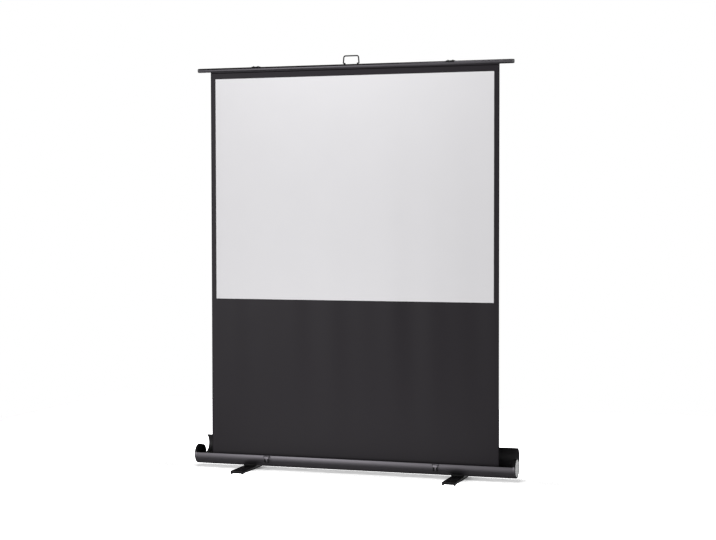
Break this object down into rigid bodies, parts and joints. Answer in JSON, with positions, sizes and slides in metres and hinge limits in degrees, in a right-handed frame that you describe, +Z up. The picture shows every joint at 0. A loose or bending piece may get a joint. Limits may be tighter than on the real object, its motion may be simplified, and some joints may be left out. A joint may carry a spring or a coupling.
{
  "type": "pull-up projection screen",
  "caption": "Floor-standing pull-up projection screen: round aluminium case with hinged lid, spring roller, scissor lift, top bar with pull handle and swivel feet.",
  "frame": {"origin": "on the floor under the middle of the case", "axes": "+Z up, +X along the case to the viewer's right, the image surface faces -Y"},
  "size_m": [1.849, 0.4314, 2.3],
  "materials": {
    "black_anodised": "satin black anodised extrusion",
    "raw_aluminium": "drawn tube",
    "black_plastic": "fine moulded texture",
    "grey_inlay": "plain light grey disc",
    "zinc_steel": "zinc plated",
    "black_steel": "satin black powder coat",
    "black_fabric": "matt black screen cloth",
    "white_fabric": "matt white image surface"
  },
  "bodies": {
    "case": {"case_shell": "black_anodised", "end_cap_left": "black_plastic", "end_cap_right": "black_plastic", "cap_inlay_left": "grey_inlay", "cap_inlay_right": "grey_inlay", "roller_bracket_left": "zinc_steel", "roller_bracket_right": "zinc_steel", "spring_arbor": "zinc_steel", "base_rail": "black_steel", "base_pivot_pin": "zinc_steel", "foot_saddle_left": "black_plastic", "foot_saddle_right": "black_plastic", "foot_bolt_left": "zinc_steel", "foot_bolt_right": "zinc_steel", "latch_base_left": "black_steel", "latch_base_right": "black_steel", "screen_fabric": "black_fabric", "image_surface": "white_fabric"},
    "roller": {"roller_tube": "raw_aluminium", "roller_plug_left": "black_plastic", "roller_plug_right": "black_plastic", "torsion_spring": "zinc_steel", "fabric_roll": "black_fabric"},
    "front_arm_1": {"front_arm_1": "black_steel", "centre_rivet_1": "zinc_steel", "right_knuckle_rivet_1": "zinc_steel"},
    "rear_arm_1": {"rear_arm_1": "black_steel", "base_slide_pin": "zinc_steel", "left_knuckle_rivet_1": "zinc_steel"},
    "front_arm_2": {"front_arm_2": "black_steel", "centre_rivet_2": "zinc_steel", "right_knuckle_rivet_2": "zinc_steel"},
    "rear_arm_2": {"rear_arm_2": "black_steel", "left_knuckle_rivet_2": "zinc_steel"},
    "front_arm_3": {"front_arm_3": "black_steel", "centre_rivet_3": "zinc_steel", "top_slide_pin": "zinc_steel"},
    "rear_arm_3": {"rear_arm_3": "black_steel"},
    "top_bar": {"top_bar": "black_anodised", "bar_plug_left": "black_plastic", "bar_plug_right": "black_plastic", "rail_hanger_left": "black_steel", "rail_hanger_right": "black_steel", "top_rail": "black_steel", "top_pivot_pin": "zinc_steel", "handle_clip_left": "black_plastic", "handle_clip_right": "black_plastic"},
    "pull_handle": {"pull_handle": "black_steel"},
    "lid": {"lid_shell": "black_anodised", "carry_clip_left": "black_plastic", "carry_clip_right": "black_plastic", "lid_catch_left": "zinc_steel", "lid_catch_right": "zinc_steel"},
    "carry_handle": {"carry_handle": "black_plastic"},
    "foot_left": {"foot_left": "black_steel"},
    "latch_lever_left": {"latch_lever_left": "black_steel"},
    "latch_bail_left": {"latch_bail_left": "black_steel"},
    "foot_right": {"foot_right": "black_steel"},
    "latch_lever_right": {"latch_lever_right": "black_steel"},
    "latch_bail_right": {"latch_bail_right": "black_steel"}
  },
  "joints": [
    {"name": "lift", "type": "hinge", "parent": "case", "child": "front_arm_1", "pos_m": [-0.22522, 0.0272, 0.045], "axis": [0, -1, 0], "range_deg": [-57.34, 0], "deforming": ["screen_fabric", "image_surface"]},
    {"name": "scissor_cross_1", "type": "hinge", "parent": "front_arm_1", "child": "rear_arm_1", "pos_m": [0, 0.0272, 0.4113], "axis": [0, -1, 0], "range_deg": [0, 114.68]},
    {"name": "scissor_knuckle_1", "type": "hinge", "parent": "rear_arm_1", "child": "front_arm_2", "pos_m": [-0.22522, 0.0272, 0.7776], "axis": [0, -1, 0], "range_deg": [-114.68, 0]},
    {"name": "scissor_cross_2", "type": "hinge", "parent": "front_arm_2", "child": "rear_arm_2", "pos_m": [0, 0.0272, 1.1439], "axis": [0, -1, 0], "range_deg": [0, 114.68]},
    {"name": "scissor_knuckle_2", "type": "hinge", "parent": "rear_arm_2", "child": "front_arm_3", "pos_m": [-0.22522, 0.0272, 1.5102], "axis": [0, -1, 0], "range_deg": [-114.68, 0]},
    {"name": "scissor_cross_3", "type": "hinge", "parent": "front_arm_3", "child": "rear_arm_3", "pos_m": [0, 0.0272, 1.8765], "axis": [0, -1, 0], "range_deg": [0, 114.68]},
    {"name": "top_bar_pivot", "type": "hinge", "parent": "rear_arm_3", "child": "top_bar", "pos_m": [-0.22522, 0.0272, 2.2428], "axis": [0, -1, 0], "range_deg": [-57.34, 0]},
    {"name": "roller_spin", "type": "hinge", "parent": "case", "child": "roller", "pos_m": [0, -0.0007, 0.047], "axis": [1, 0, 0], "range_deg": [0, 6175.52]},
    {"name": "handle_fold", "type": "hinge", "parent": "top_bar", "child": "pull_handle", "pos_m": [0, -0.014, 2.2553], "axis": [-1, 0, 0], "range_deg": [0, 90]},
    {"name": "lid_hinge", "type": "hinge", "parent": "case", "child": "lid", "pos_m": [0, 0.05153, 0.0693], "axis": [1, 0, 0], "range_deg": [0, 28]},
    {"name": "carry_handle_swing", "type": "hinge", "parent": "lid", "child": "carry_handle", "pos_m": [0, 0.12095, 0.1083], "axis": [1, 0, 0], "range_deg": [-11, 150]},
    {"name": "foot_swivel_left", "type": "hinge", "parent": "case", "child": "foot_left", "pos_m": [-0.602, 0, 0.0172], "axis": [0, 0, 1], "range_deg": [0, 90]},
    {"name": "latch_lever_left", "type": "hinge", "parent": "case", "child": "latch_lever_left", "pos_m": [-0.487, -0.05768, 0.07806], "axis": [-1, 0, 0], "range_deg": [0, 100]},
    {"name": "latch_bail_left", "type": "hinge", "parent": "latch_lever_left", "child": "latch_bail_left", "pos_m": [-0.487, -0.05686, 0.06802], "axis": [-1, 0, 0], "range_deg": [0, 150]},
    {"name": "foot_swivel_right", "type": "hinge", "parent": "case", "child": "foot_right", "pos_m": [0.602, 0, 0.0172], "axis": [0, 0, -1], "range_deg": [0, 90]},
    {"name": "latch_lever_right", "type": "hinge", "parent": "case", "child": "latch_lever_right", "pos_m": [0.487, -0.05768, 0.07806], "axis": [-1, 0, 0], "range_deg": [0, 100]},
    {"name": "latch_bail_right", "type": "hinge", "parent": "latch_lever_right", "child": "latch_bail_right", "pos_m": [0.487, -0.05686, 0.06802], "axis": [-1, 0, 0], "range_deg": [0, 150]}
  ],
  "couplings": [
    {"joint": "scissor_cross_1", "follows": "lift", "ratio": -2},
    {"joint": "scissor_knuckle_1", "follows": "lift", "ratio": 2},
    {"joint": "scissor_cross_2", "follows": "lift", "ratio": -2},
    {"joint": "scissor_knuckle_2", "follows": "lift", "ratio": 2},
    {"joint": "scissor_cross_3", "follows": "lift", "ratio": -2},
    {"joint": "top_bar_pivot", "follows": "lift", "ratio": 1},
    {"joint": "roller_spin", "follows": "lift", "ratio": -107.7}
  ]
}
